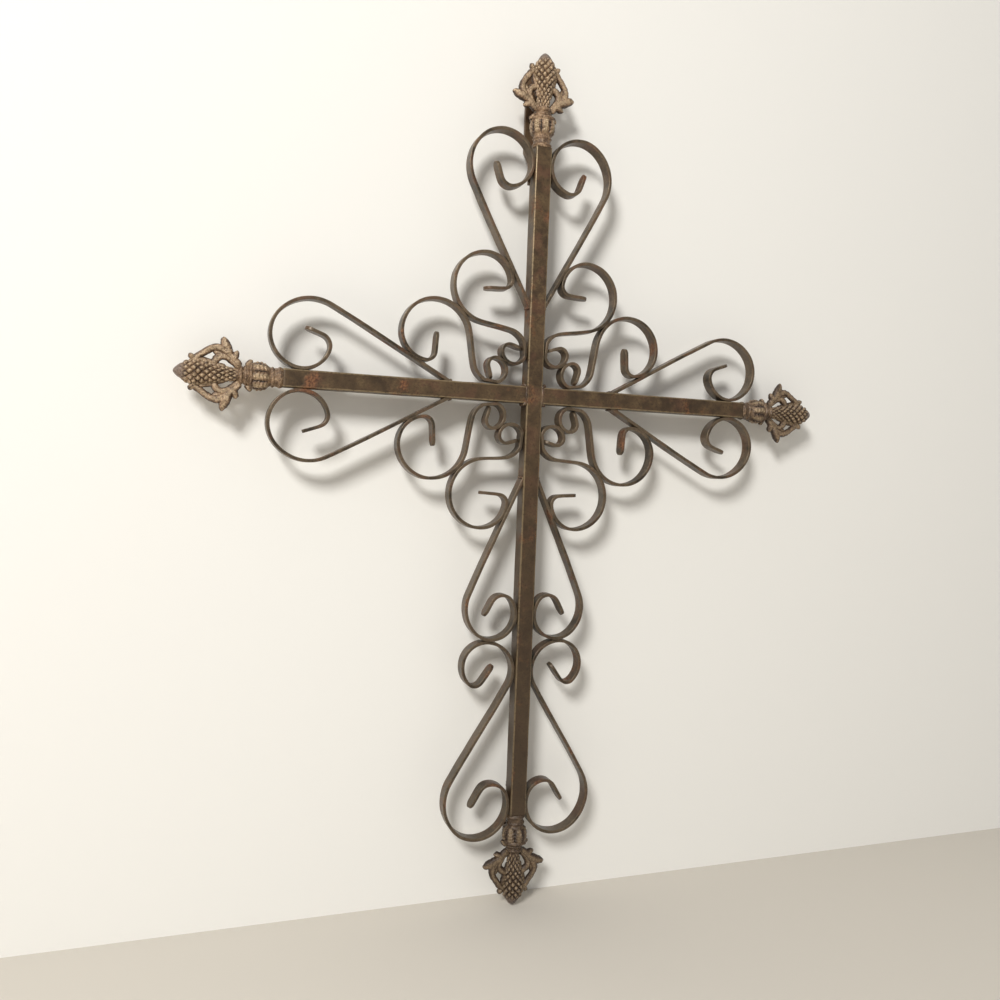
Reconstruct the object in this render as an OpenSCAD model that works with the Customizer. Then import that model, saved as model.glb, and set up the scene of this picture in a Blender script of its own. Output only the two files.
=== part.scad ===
// Wall-hung wrought iron cross: a square post and two square arms, cast pine cone
// finials on the four ends, and flat bar scrolls welded along the bars.
// The cross faces -Y. The origin is the hanging hole, on the wall plane.

/* [Bars] */
// Side of the square bar of the post and arms
bar_side = 12.7; // [10:0.1:16]
// Centre of the crossing to the top end of the post
top_reach = 190.5; // [180:0.5:260]
// Centre of the crossing to the outer end of each arm
arm_reach = 190.5; // [180:0.5:260]
// Centre of the crossing to the lower end of the post
foot_reach = 326; // [300:1:420]

/* [Flat bar scrolls] */
// Width of the flat bar, from front to back
flat_width = 10; // [6:0.1:12.5]
// Thickness of the flat bar
flat_thick = 2.4; // [1.6:0.1:3.6]
// Gap at each touching point, which the weld fills
weld_gap = 0.05; // [0.02:0.01:0.2]

/* [Heart scrolls] */
// Foot of the leg, from the centre of the crossing
heart_foot = 67.5; // [60:0.5:76]
// Lean of the leg away from the bar, in degrees
heart_lean = 28.5; // [24:0.5:34]
// Radius of the outer bend of the curl
heart_outer_r = 29.4; // [24:0.1:34]
// Radius of the bend over the end of the curl
heart_middle_r = 23.3; // [19:0.1:28]
// Radius of the inner bend, which touches the bar
heart_inner_r = 19.2; // [15:0.1:22]

/* [Lower heart scrolls] */
// Foot of the leg, from the centre of the crossing
low_heart_foot = 64.5; // [58:0.5:74]
// Lean of the leg away from the post, in degrees
low_heart_lean = 24; // [20:0.5:28]
// Radius of the outer bend of the curl
low_heart_outer_r = 25.7; // [21:0.1:29]
// Radius of the main bend of the curl, which touches the post
low_heart_main_r = 18.7; // [15:0.1:21]

/* [Corner scrolls] */
// Radius of the big curl where it meets the leg of the heart scroll
corner_leg_r = 20.6; // [17:0.1:24]
// Radius of the big curl over its top
corner_top_r = 24.9; // [21:0.1:28]
// Radius of the big curl where it meets its twin on the diagonal
corner_big_r = 26.8; // [23:0.1:30]
// Radius of the small curl where it meets the bar
corner_bar_r = 15.8; // [13:0.1:17]
// Radius of the small curl where it meets its twin
corner_twin_r = 9.4; // [8:0.1:11]

/* [Foot scrolls] */
// Radius of the upper curl under the lower heart scroll
foot_upper_r = 18.1; // [15:0.1:21]
// Radius of the upper curl beside the post
foot_shoulder_r = 22.3; // [19:0.1:25]
// Radius of the outer bend of the lower curl
foot_outer_r = 31.4; // [26:0.1:36]
// Radius of the main bend of the lower curl, which touches the post
foot_main_r = 24.3; // [20:0.1:28]
// Length of post left bare below the point where the lower curl touches it
foot_bare = 12; // [6:0.5:30]
// Distance that the foot scrolls sit behind the middle of the post
foot_set_back = 1.3; // [0:0.05:3]

/* [Finials] */
// Length of a finial, from the end of the bar to its tip
finial_length = 67; // [56:1:80]
// Greatest radius of the pine cone
cone_r = 8.3; // [6:0.1:10]
// Radius of the stem below the pine cone
stem_r = 3.7; // [2.5:0.1:5]
// Greatest radius of the leafy bulb
bulb_r = 10.3; // [8:0.1:12]
// Reach of the side leaves from the axis of the finial
leaf_reach = 25.5; // [21:0.5:30]
// Thickness of the side brackets
bracket_thick = 4.5; // [3:0.1:6]

/* [Straps behind] */
// Width of the hanger strap
strap_width = 14; // [10:0.5:18]
// Thickness of both straps
strap_thick = 3; // [2:0.1:4]
// Gap between the back of the post and the raised part of the hanger strap
stand_off = 12; // [6:0.5:18]
// Length of the hanger strap up to the end of the post
strap_grip = 30; // [26:1:60]
// Top of the hanger strap above the end of the post
strap_rise = 57; // [40:1:66]
// Radius of the hanging hole
hole_r = 3.5; // [2.5:0.1:4.5]
// Length of the lower strap up to the end of the post
low_strap_grip = 30; // [15:1:60]
// Length of the lower strap past the end of the post
low_strap_rise = 18; // [0:1:40]

/* [Hidden] */
half_bar = bar_side / 2;
half_flat = flat_thick / 2;
touch_x = half_bar + half_flat + weld_gap;      // centre line of a flat that touches a bar
wall_depth = half_bar + stand_off + strap_thick; // middle of the post to the wall
hole_edge = strap_width / 2 + 1;                // hanging hole below the strap's top
strap_step = 1;                                 // how far short of the post's end a strap has stepped back
strap_clearance = 0.3;                          // from the bulb to the strap behind it
hole_height = top_reach + strap_rise - hole_edge;
chord_error = 0.05;                             // most that a facet cuts off a bend
end_facets = 10;                                // facets of a free end's half round

bar_brown = [0.36, 0.30, 0.23];
scroll_brown = [0.42, 0.35, 0.26];
cast_tan = [0.62, 0.50, 0.40];
strap_brown = [0.33, 0.26, 0.18];

// ---- Centre lines -------------------------------------------------------
// A station of a centre line is [x, y, heading]. A move is [length, 0] for a
// straight run, or [radius, angle] for a bend, which turns left where the
// angle is above 0. Each scroll is drawn on the +X side of a limb that runs
// up +Y from the centre of the crossing.

function ahead(heading) = [cos(heading), sin(heading)];
function left_of(heading) = [-sin(heading), cos(heading)];
function place(station) = [station[0], station[1]];
function at(point, heading) = [point[0], point[1], heading];
function last(list) = list[len(list) - 1];
function within_turn(angle) = angle - 360 * floor(angle / 360);

function straight_end(from, length) = at(place(from) + length * ahead(from[2]), from[2]);

function bend_centre(from, radius, side) = place(from) + side * radius * left_of(from[2]);

function bend_facets(radius, angle) =
    ceil(abs(angle) / (2 * acos(1 - chord_error / radius)));

function bend(from, radius, angle) =
    let (side = sign(angle),
         centre = bend_centre(from, radius, side),
         facets = bend_facets(radius, angle))
    [for (i = [1 : facets])
        let (heading = from[2] + angle * i / facets)
        at(centre - side * radius * left_of(heading), heading)];

function one_move(from, move) =
    move[1] == 0 ? [straight_end(from, move[0])] : bend(from, move[0], move[1]);

function walk_from(from, moves, i) =
    i == len(moves) ? []
    : let (part = one_move(from, moves[i]))
      concat(part, walk_from(last(part), moves, i + 1));

function walk(from, moves) = concat([from], walk_from(from, moves, 0));

function moved(path, shift) = [for (s = path) at(place(s) + shift, s[2])];

// The same line, walked from its other end
function turned_back(path) =
    [for (i = [len(path) - 1 : -1 : 0]) at(place(path[i]), path[i][2] + 180)];

function without_first(list) = [for (i = [1 : len(list) - 1]) list[i]];

// The furthest that a line reaches in a direction
function reach(path, direction) = max([for (s = path) place(s) * direction]);

// The shift that makes a line reach to_a in direction a and to_b in direction b
function seat_shift(path, a, to_a, b, to_b) =
    let (gap_a = to_a - reach(path, a),
         gap_b = to_b - reach(path, b),
         area = a[0] * b[1] - a[1] * b[0])
    [(gap_a * b[1] - gap_b * a[1]) / area, (gap_b * a[0] - gap_a * b[0]) / area];

// Two curls joined by a straight run that is tangent to the last bend of each.
// Both are walked inside out and turn right, so the run crosses between them.
function joined(curl_a, radius_a, curl_b, radius_b) =
    let (end_a = last(curl_a),
         end_b = last(curl_b),
         centre_a = bend_centre(end_a, radius_a, -1),
         centre_b = bend_centre(end_b, radius_b, -1),
         run = centre_b - centre_a,
         heading = atan2(run[1], run[0]) - asin((radius_a + radius_b) / norm(run)),
         run_end = at(centre_b - radius_b * left_of(heading), heading))
    concat(curl_a,
        bend(end_a, radius_a, -within_turn(end_a[2] - heading)),
        [run_end],
        bend(run_end, radius_b, within_turn(end_b[2] + 180 - heading)),
        without_first(turned_back(curl_b)));

// ---- Heart scrolls ------------------------------------------------------
// A leg leans away from the bar and its curl comes back to touch the bar, so
// the leg is as long as that needs.

heart_bends = [
    [heart_outer_r, 81], [heart_middle_r, 113], [heart_inner_r, 91], [8.2, 84], [12.3, 0]
];
low_heart_bends = [
    [low_heart_outer_r, 72], [low_heart_main_r, 168], [9.3, 116], [11.8, 0]
];

function heart_path(foot, lean, bends) =
    let (start = [half_bar, foot, 90 - lean],
         leg = (touch_x + reach(walk(start, bends), [-1, 0])) / sin(lean))
    walk(start, concat([[leg, 0]], bends));

heart = heart_path(heart_foot, heart_lean, heart_bends);
low_heart = heart_path(low_heart_foot, low_heart_lean, low_heart_bends);

// Centre of the lower heart's main bend, found from the end of its outer bend
low_heart_turn = 1 + bend_facets(low_heart_outer_r, 72);
low_heart_centre = bend_centre(low_heart[low_heart_turn], low_heart_main_r, 1);

// ---- Corner scrolls -----------------------------------------------------
// The big curl touches the leg of the heart scroll and, across the diagonal of
// the corner, its twin. The small curl touches the bar and its own twin.

diagonal = [1, -1] / sqrt(2);
diagonal_reach = -(half_flat + weld_gap / 2);

function big_curl(foot, lean) =
    let (curl = walk([0, 0, 176],
             [[15, 0], [6.6, -93], [corner_leg_r, -88], [corner_top_r, -76],
              [corner_big_r, -54]]),
         leg_side = [-cos(lean), sin(lean)],
         leg_reach = [half_bar, foot] * leg_side - flat_thick - weld_gap)
    moved(curl, seat_shift(curl, leg_side, leg_reach, diagonal, diagonal_reach));

small_curl =
    let (curl = walk([0, 0, 17],
             [[9, 0], [5.7, -115], [corner_twin_r, -167], [corner_bar_r, -5]]))
    moved(curl, seat_shift(curl, [-1, 0], -touch_x, diagonal, diagonal_reach));

function corner_path(foot, lean) =
    joined(big_curl(foot, lean), corner_big_r, small_curl, corner_bar_r);

corner = corner_path(heart_foot, heart_lean);
low_corner = corner_path(low_heart_foot, low_heart_lean);

// ---- Foot scrolls -------------------------------------------------------
// The upper curl hangs under the lower heart scroll and touches the post, and
// the lower curl touches the post again near its end.

foot_upper_curl =
    let (inner = walk([0, 0, 54], [[15.5, 0], [6.4, -97]]),
         curl = concat(inner, walk_from(last(inner),
             [[foot_upper_r, -138], [foot_shoulder_r, -89]], 0)),
         x_shift = -touch_x - reach(curl, [-1, 0]),
         centre = bend_centre(last(inner), foot_upper_r, -1) - [x_shift, 0],
         apart = low_heart_main_r + foot_upper_r + flat_thick + weld_gap,
         across = centre[0] - low_heart_centre[0],
         centre_y = low_heart_centre[1] + sqrt(apart * apart - across * across))
    moved(curl, [-x_shift, centre_y - centre[1]]);

foot_lower_curl =
    let (inner = walk([0, 0, 239], [[14.7, 0], [8.9, -51], [13.7, -80]]),
         curl = concat(inner, walk_from(last(inner), [[foot_main_r, -152]], 0)),
         centre = bend_centre(last(inner), foot_main_r, -1))
    moved(curl, [touch_x + reach(curl, [-1, 0]), foot_reach - foot_bare - centre[1]]);

foot_path = joined(foot_upper_curl, foot_shoulder_r, foot_lower_curl, foot_outer_r);

// ---- Flat bar -----------------------------------------------------------

function offset_point(station, distance) = place(station) + distance * left_of(station[2]);

// Where one edge of a leg meets the face of the bar it stands on
function foot_point(station, distance) =
    let (edge = offset_point(station, distance))
    edge + (half_bar - edge[0]) / cos(station[2]) * ahead(station[2]);

// What is cut from the square end of a flat to leave it half round across its width
module end_waste(station) {
    radius = flat_width / 2;
    arc = [for (i = [0 : end_facets])
        radius / cos(90 / end_facets) * ahead(90 - 180 * i / end_facets) - [radius, 0]];
    translate([station[0], station[1], 0])
        rotate([90, 0, station[2]])
            linear_extrude(2 * flat_thick, center = true)
                polygon(concat([[-radius, radius + 1]], arc,
                    [[-radius, -radius - 1], [1, -radius - 1], [1, radius + 1]]));
}

module flat_bar(left_edge, right_edge) {
    linear_extrude(flat_width, center = true)
        polygon(concat(left_edge, [for (i = [len(right_edge) - 1 : -1 : 0]) right_edge[i]]));
}

// A scroll whose first end is cut flush on the bar
module footed_scroll(path) {
    bent = without_first(path);
    color(scroll_brown)
        difference() {
            flat_bar(
                concat([foot_point(path[0], half_flat)],
                    [for (s = bent) offset_point(s, half_flat)]),
                concat([foot_point(path[0], -half_flat)],
                    [for (s = bent) offset_point(s, -half_flat)]));
            end_waste(last(path));
        }
}

// A scroll with two free ends
module free_scroll(path) {
    color(scroll_brown)
        difference() {
            flat_bar([for (s = path) offset_point(s, half_flat)],
                [for (s = path) offset_point(s, -half_flat)]);
            end_waste(last(path));
            end_waste(last(turned_back(path)));
        }
}

module foot_scroll() {
    translate([0, 0, -foot_set_back])
        free_scroll(foot_path);
}

// ---- Bars and straps ----------------------------------------------------

module square_bar(from, to) {
    color(bar_brown)
        translate([-half_bar, from, -half_bar])
            cube([bar_side, to - from, bar_side]);
}

// A strap that lies on the back of the post, then steps back by stand and runs on
// past the post's end at end_height. It is drawn from the side, as depth behind the
// middle of the post and height.
module stepped_strap(width, stand, grip, end_height, rise) {
    step_at = end_height - strap_step - stand;
    back = half_bar;
    raised = half_bar + stand;
    bend_up = strap_thick * tan(22.5);
    rotate([0, 90, 0])
        linear_extrude(width, center = true)
            polygon([
                [back, end_height - grip],
                [back + strap_thick, end_height - grip],
                [back + strap_thick, step_at - bend_up],
                [raised + strap_thick, step_at - bend_up + stand],
                [raised + strap_thick, end_height + rise],
                [raised, end_height + rise],
                [raised, step_at + stand],
                [back, step_at]
            ]);
}

module hanger_strap() {
    head = top_reach + strap_rise - strap_width / 2;
    color(strap_brown)
        difference() {
            intersection() {
                stepped_strap(strap_width, stand_off, strap_grip, top_reach, strap_rise);
                translate([0, 0, -wall_depth - 1])
                    linear_extrude(wall_depth) {
                        translate([-strap_width / 2 - 1, 0])
                            square([strap_width + 2, head]);
                        translate([0, head])
                            circle(strap_width / 2, $fn = 48);
                    }
            }
            translate([0, hole_height, -wall_depth - 1])
                cylinder(h = strap_thick + 2, r = hole_r, $fn = 48);
        }
}

// The lower strap is cut from the flat of the scrolls and passes behind the bulb
module lower_strap() {
    color(strap_brown)
        mirror([0, 1, 0])
            stepped_strap(flat_width, bulb_r + strap_clearance - half_bar,
                low_strap_grip, foot_reach, low_strap_rise);
}

// ---- Finials ------------------------------------------------------------
// A finial stands on the end of its bar. Depths are measured down from its tip
// on the pattern's length, and follow when finial_length changes.

pattern_length = 67;
cone_belly = 13;      // depth of the pine cone's widest place
cone_end = 30;        // depth where the pine cone has narrowed to the stem
collar_depths = [43.5, 46.6];
collar_r = 6.9;
bead_r = 1.5;
leaf_cup = [9.2, 50, 1.6]; // ring of leaf tips: radius, depth, thickness
bulb_top = 47;
bulb_belly = 56;
neck_depth = 63.5;
neck_r = 6.6;
neck_bead_depth = 64.5;
knob = [10.8, 12.5, 2.8]; // knob on top of each bracket: reach, depth, radius

function height(depth) = finial_length * (1 - depth / pattern_length);

function eased(from, to, share) = from + (to - from) * (1 - cos(180 * share)) / 2;

// The pine cone swells from its tip to its belly, then eases into the stem
cone_profile = concat(
    [for (i = [0 : 8])
        let (share = i / 8)
        [cone_r * pow(1 - (1 - share) * (1 - share), 0.75), height(cone_belly * share)]],
    [for (i = [1 : 6])
        [eased(cone_r, stem_r, i / 6), height(cone_belly + (cone_end - cone_belly) * i / 6)]]);

bulb_profile = concat(
    [for (i = [0 : 5])
        [eased(stem_r + 1.5, bulb_r, sqrt(i / 5)), height(bulb_top + (bulb_belly - bulb_top) * i / 5)]],
    [for (i = [1 : 5])
        [eased(bulb_r, neck_r, i / 5), height(bulb_belly + (neck_depth - bulb_belly) * i / 5)]]);

module ring(radius, depth, thickness) {
    translate([0, height(depth), 0])
        rotate([90, 0, 0])
            rotate_extrude()
                translate([radius - thickness, 0])
                    circle(thickness, $fn = 24);
}

module turned_core() {
    rotate([-90, 0, 0])
        rotate_extrude()
            polygon(concat(cone_profile, bulb_profile, [[neck_r, 0], [0, 0]]));
}

// Points of a curve from one place to another that leans towards a third
function curve(from, lean, to) =
    [for (i = [1 : 5])
        let (t = i / 5)
        (1 - t) * (1 - t) * from + 2 * t * (1 - t) * lean + t * t * to];

function leaf_point(reach_share, depth) = [leaf_reach * reach_share, height(depth)];

// Side bracket: an outer rib that runs down into two pointed leaves
bracket_outline =
    let (rib_top = leaf_point(0.43, 15), rib_side = leaf_point(0.77, 28.5),
         big_tip = leaf_point(1, 33), big_root = leaf_point(0.56, 35.5),
         small_tip = leaf_point(0.66, 41.5), small_root = [stem_r - 1, height(43)])
    concat([[stem_r - 1, height(19)], leaf_point(0.3, 14.5), rib_top],
        curve(rib_top, leaf_point(0.74, 20), rib_side),
        curve(rib_side, leaf_point(0.84, 32), big_tip),
        curve(big_tip, leaf_point(0.76, 34), big_root),
        curve(big_root, leaf_point(0.6, 38), small_tip),
        curve(small_tip, leaf_point(0.4, 40), small_root));

// The two openings of a bracket: reach, depth, half length, half width, tilt
bracket_holes = [[11, 23.5, 3.1, 2.2, 60], [8, 31.8, 3.5, 1.9, 75]];

function oval(hole) =
    [for (i = [0 : 15])
        let (round = ahead(i * 22.5),
             along = ahead(hole[4]),
             over = left_of(hole[4]))
        [hole[0], height(hole[1])] + hole[2] * round[0] * along + hole[3] * round[1] * over];

module side_bracket() {
    linear_extrude(bracket_thick, center = true)
        difference() {
            polygon(bracket_outline);
            for (hole = bracket_holes) polygon(oval(hole));
        }
    translate([knob[0], height(knob[1]), 0])
        sphere(knob[2], $fn = 32);
}

module finial() {
    color(cast_tan) {
        turned_core();
        for (depth = collar_depths) ring(collar_r, depth, bead_r);
        ring(leaf_cup[0] + leaf_cup[2] / 2, leaf_cup[1], leaf_cup[2]);
        ring(neck_r + 0.9, neck_bead_depth, bead_r);
        side_bracket();
        mirror([1, 0, 0]) side_bracket();
    }
}

// ---- Placement ----------------------------------------------------------
// The pieces above lie flat with the crossing at the origin and the front up.
// hung stands them up, with the front to -Y and the hanging hole at the origin.

module hung() {
    translate([0, -wall_depth, -hole_height])
        rotate([90, 0, 0])
            children();
}

// One side of a limb: the limb runs up from the crossing, then turns by angle
module limb(angle, side = 1) {
    hung()
        rotate(angle)
            if (side > 0) children();
            else mirror([1, 0, 0]) children();
}

top = 0;
left = 90;
bottom = 180;
right = -90;

hung() square_bar(-foot_reach, top_reach);  // post
limb(left) square_bar(half_bar, arm_reach);  // arm_bar_left
limb(right) square_bar(half_bar, arm_reach);  // arm_bar_right
limb(top) translate([0, top_reach, 0]) finial();  // finial_top
limb(left) translate([0, arm_reach, 0]) finial();  // finial_left
limb(right) translate([0, arm_reach, 0]) finial();  // finial_right
limb(bottom) translate([0, foot_reach, 0]) finial();  // finial_bottom
limb(top, -1) footed_scroll(heart);  // heart_top_left
limb(top, 1) footed_scroll(heart);  // heart_top_right
limb(left, 1) footed_scroll(heart);  // heart_left_upper
limb(left, -1) footed_scroll(heart);  // heart_left_lower
limb(right, -1) footed_scroll(heart);  // heart_right_upper
limb(right, 1) footed_scroll(heart);  // heart_right_lower
limb(bottom, 1) footed_scroll(low_heart);  // heart_bottom_left
limb(bottom, -1) footed_scroll(low_heart);  // heart_bottom_right
limb(top, -1) free_scroll(corner);  // corner_top_left
limb(top, 1) free_scroll(corner);  // corner_top_right
limb(left, 1) free_scroll(corner);  // corner_left_upper
limb(left, -1) free_scroll(corner);  // corner_left_lower
limb(right, -1) free_scroll(corner);  // corner_right_upper
limb(right, 1) free_scroll(corner);  // corner_right_lower
limb(bottom, 1) free_scroll(low_corner);  // corner_bottom_left
limb(bottom, -1) free_scroll(low_corner);  // corner_bottom_right
limb(bottom, 1) foot_scroll();  // foot_scroll_left
limb(bottom, -1) foot_scroll();  // foot_scroll_right
hung() hanger_strap();
hung() lower_strap();
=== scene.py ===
"""A wall-hung wrought iron cross: square bars, flat bar scrolls, welds, cast finials and straps."""

import bmesh
import bpy
import numpy as np
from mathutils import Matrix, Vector


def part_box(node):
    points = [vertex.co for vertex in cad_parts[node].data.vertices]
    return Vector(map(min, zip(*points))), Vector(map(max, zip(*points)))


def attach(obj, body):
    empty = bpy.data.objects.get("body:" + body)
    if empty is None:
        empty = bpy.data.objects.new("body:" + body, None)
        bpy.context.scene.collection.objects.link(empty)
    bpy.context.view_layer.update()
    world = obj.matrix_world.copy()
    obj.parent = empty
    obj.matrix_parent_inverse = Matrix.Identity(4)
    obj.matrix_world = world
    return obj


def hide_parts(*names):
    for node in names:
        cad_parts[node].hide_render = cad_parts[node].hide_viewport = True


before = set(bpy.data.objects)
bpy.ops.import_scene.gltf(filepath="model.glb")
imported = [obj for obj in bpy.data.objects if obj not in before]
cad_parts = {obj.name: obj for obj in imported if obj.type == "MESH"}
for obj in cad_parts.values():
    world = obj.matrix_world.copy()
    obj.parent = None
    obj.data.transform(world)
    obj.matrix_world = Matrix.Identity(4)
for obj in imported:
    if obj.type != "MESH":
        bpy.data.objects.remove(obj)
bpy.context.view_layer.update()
MM = 0.001

# ---- Where the cross hangs, and the camera -----------------------------------
# The cross hangs upright on a wall, its top strap flat on the plane y = 0. The
# camera stands close in, to the left of it and a little below the arms.

post_low, post_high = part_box("post")
arm_low, arm_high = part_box("arm_bar_left")
post_middle = (post_low + post_high) / 2
crossing = Vector((post_middle.x, post_middle.y, (arm_low.z + arm_high.z) / 2))

camera_data = bpy.data.cameras.new("camera")
camera_data.sensor_width = 36
camera_data.lens = 32.575
camera_data.clip_start = 0.01
camera = bpy.data.objects.new("camera", camera_data)
camera.location = crossing + Vector((-0.25724, -0.64250, -0.06047))
camera.rotation_euler = np.radians((88.351, -2.228, -20.012))
bpy.context.scene.collection.objects.link(camera)
bpy.context.scene.camera = camera
bpy.context.scene.view_settings.view_transform = "Standard"

# ---- Post and arms ------------------------------------------------------------
# Half inch square bar, rolled, with its corners a little rounded and its faces
# not quite flat, under worn bronze brown paint. The arms are cut square and
# butted on the sides of the post; each free end stops at the neck of a finial.

BAR_CORNER = 0.85 * MM
BAR_HALF = (post_high.x - post_low.x) / 2
BAR_RING_PITCH = 1.5 * MM
SIDE_SHARES = (0.05, 0.2, 0.5, 0.8, 0.95)
END_BEVEL = 0.6 * MM
NECK_LAP = 4 * MM


class Value:
    """A socket of a node tree. a + b, a - b and a * b add Math nodes."""

    def __init__(self, tree, socket=None):
        self.tree = tree
        self.socket = socket

    def node(self, kind, settings=(), inputs=(), output=0):
        """Adds a node: its settings are set first, then its sockets are set or linked."""
        made = self.tree.nodes.new(kind)
        for name, value in dict(settings).items():
            setattr(made, name, value)
        for key, value in dict(inputs).items():
            socket = made.inputs[key]
            if isinstance(value, Value):
                self.tree.links.new(value.socket, socket)
            else:
                socket.default_value = value
        return Value(self.tree, made.outputs[output] if len(made.outputs) else None)

    def math(self, operation, *others):
        """Adds a Math node for an operation on this value and the others."""
        inputs = dict(enumerate((self, *others)))
        return self.node("ShaderNodeMath", {"operation": operation}, inputs)

    def __add__(self, other):
        return self.math("ADD", other)

    def __mul__(self, other):
        return self.math("MULTIPLY", other)

    def __sub__(self, other):
        return self.math("SUBTRACT", other)

    def __rsub__(self, other):
        return self.math("MULTIPLY", -1).math("ADD", other)

    __radd__ = __add__
    __rmul__ = __mul__

    def ramp(self, low, high):
        """A smooth step: 0 where the value is at low and 1 where it is at high."""
        return self.node("ShaderNodeMapRange", {"interpolation_type": "SMOOTHSTEP"},
                         {"Value": self, "From Min": low, "From Max": high})

    def noise(self, size, detail=3.0, roughness=0.55, shift=0.0):
        """Noise from about 0 to 1 whose largest lumps are size metres across."""
        place = self.node("ShaderNodeVectorMath", {"operation": "ADD"}, {0: self, 1: (shift,) * 3})
        return self.node("ShaderNodeTexNoise", (),
                         {"Vector": place, "Scale": 1 / size, "Detail": detail,
                          "Roughness": roughness})

    def attribute(self, name):
        """A number that the mesh carries at each of its points."""
        return self.node("ShaderNodeAttribute", {"attribute_name": name}, output=2)

    def mix(self, other, share):
        """This colour, with the other one over it where share is 1."""
        return self.node("ShaderNodeMix", {"data_type": "RGBA"},
                         {"Factor": share, 6: self, 7: other}, output=2)

    def colour(self, red, green, blue):
        """A plain colour to mix from, given as it looks on a screen from 0 to 255."""
        tone = self.node("ShaderNodeRGB")
        tone.socket.default_value = screen_colour(red, green, blue)
        return tone


def screen_colour(red, green, blue):
    """The linear colour for screen values: ((value / 255 + 0.055) / 1.055) to the power 2.4."""
    return (*((np.array((red, green, blue)) / 255 + 0.055) / 1.055) ** 2.4, 1)


def new_finish(name):
    """An empty material, its Object coordinates, and the wear and shading value that every piece carries.

    It is 1 on the edges and crests that are rubbed most, and 0 in the hollows; on the castings it also
    holds painted highlights and painted shade.
    """
    material = bpy.data.materials.new(name)
    material.use_nodes = True
    material.node_tree.nodes.clear()
    start = Value(material.node_tree)
    return material, start.node("ShaderNodeTexCoord", output=3), start.attribute("wear_and_shading")


def set_surface(tone, roughness, metallic, height, depth):
    """Links the finished patterns to a Principled shader, with a bump of that depth."""
    bump = tone.node("ShaderNodeBump", (), {"Distance": depth, "Height": height})
    shader = tone.node("ShaderNodeBsdfPrincipled", (),
                       {"Base Color": tone, "Roughness": roughness,
                        "Metallic": metallic, "Normal": bump})
    tone.node("ShaderNodeOutputMaterial", (), {"Surface": shader})


def iron_finish(name, dark, base, pale, rub, rust_share, foot=0.0):
    """Bronze brown paint on iron: mottled, rubbed pale on its edges, with rust in patches.

    dark, base and pale are the tones of the paint, and rub is that of its rubbed
    edges. rust_share is how far the rust has spread, and foot is how much the paint
    darkens on its way down the cross.
    """
    material, place, wear_and_shading = new_finish(name)
    cloud = place.noise(45 * MM, 4)
    mottle = place.noise(9 * MM, 4, 0.6, 3.1)
    grain = place.noise(1.6 * MM, 3, 0.6, 7.7)
    pits = place.noise(0.7 * MM, 2, 0.5, 1.9)
    warm = place.noise(18 * MM, 4, 0.6, 21.5)
    tone = place.colour(*dark).mix(place.colour(*base), (cloud * 0.5 + mottle * 0.5).ramp(0.36, 0.54))
    tone = tone.mix(place.colour(110, 76, 58), warm.ramp(0.50, 0.64) * 0.5)
    tone = tone.mix(place.colour(*pale), (mottle * 0.45 + grain * 0.55).ramp(0.50, 0.74) * 0.65)
    height = place.node("ShaderNodeSeparateXYZ", (), {0: place}, output=2)
    lower = (height + mottle * 0.3).ramp(0.09, -0.35) * foot
    tone = tone.mix(place.colour(*dark), lower)
    rubbed = (wear_and_shading * 0.8 + grain * 0.7 + cloud * 0.5 - 0.95).ramp(0.10, 0.50) * (1 - lower * 0.6)
    tone = tone.mix(place.colour(*rub), rubbed * 0.6)
    patch = place.noise(30 * MM, 5, 0.6, 12.3) + mottle * 0.35
    rust = patch.ramp(0.86 - rust_share, 1.0 - rust_share)
    rust_tone = place.colour(92, 52, 30).mix(place.colour(140, 92, 58), grain.ramp(0.4, 0.65))
    tone = tone.mix(rust_tone, rust * 0.75)
    soot = (grain * 0.6 + pits * 0.4).ramp(0.47, 0.33)
    tone = tone.mix(place.colour(30, 23, 16), soot * 0.55)
    roughness = 0.28 + mottle * 0.18 + rust * 0.25 - rubbed * 0.04
    relief = mottle * 0.35 + grain * 0.45 + pits * 0.2 + rust * 0.25
    set_surface(tone, roughness, 0.15 + rubbed * 0.25, relief, 0.25 * MM)
    return material


def shell_mesh(name, points, faces):
    """A mesh of points and faces, with every closed shell in it facing outwards."""
    mesh = bpy.data.meshes.new(name)
    mesh.from_pydata(points.tolist(), [], faces)
    shell = bmesh.new()
    shell.from_mesh(mesh)
    bmesh.ops.recalc_face_normals(shell, faces=shell.faces)
    shell.to_mesh(mesh)
    shell.free()
    mesh.shade_smooth()
    return mesh


def set_attribute(mesh, name, values):
    """Gives the mesh a number at each of its points."""
    layer = mesh.attributes.new(name, "FLOAT", "POINT")
    layer.data.foreach_set("value", np.asarray(values, np.float32))


def add_piece(name, mesh, wear_and_shading, material, slot, *replaced):
    """Puts a finished mesh on the cross, in place of the CAD nodes that it stands for."""
    set_attribute(mesh, "wear_and_shading", wear_and_shading)
    mesh.materials.append(material)
    piece = bpy.data.objects.new(name, mesh)
    bpy.context.scene.collection.objects.link(piece)
    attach(piece, "root")
    if replaced:
        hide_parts(*replaced)
    return piece


def tube_faces(rings, around):
    """Quads of a closed tube of rings, each with around points, and one face on each end."""
    ring = np.arange(rings - 1)[:, None] * around
    point = np.arange(around)[None, :]
    beside = (point + 1) % around
    quads = np.stack([ring + point, ring + beside, ring + around + beside, ring + around + point], -1)
    last = (rings - 1) * around
    ends = [list(range(around)), list(range(last, last + around))]
    return quads.reshape(-1, 4).tolist() + ends


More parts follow.
